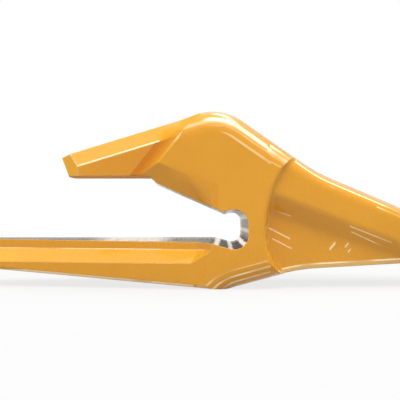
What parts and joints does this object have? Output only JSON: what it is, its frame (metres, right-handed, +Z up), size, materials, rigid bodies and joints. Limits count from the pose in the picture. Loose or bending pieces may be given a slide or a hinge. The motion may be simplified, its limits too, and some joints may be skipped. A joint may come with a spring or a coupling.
{
  "type": "bucket tooth adapter",
  "caption": "Weld-on cast steel adapter whose two straps straddle a bucket's base edge and whose tapered nose carries a digging tooth.",
  "frame": {"origin": "on the lower seat, on the mid-plane of the casting, where the underside of the bucket's base edge rests, below the crown of the body", "axes": "+X along the digging direction to the nose, +Y across the casting, +Z up and square to the two seats"},
  "size_m": [0.3441, 0.1, 0.1172],
  "materials": {
    "paint": "gloss"
  },
  "bodies": {
    "root": {"adapter_casting": "paint"}
  },
  "joints": []
}
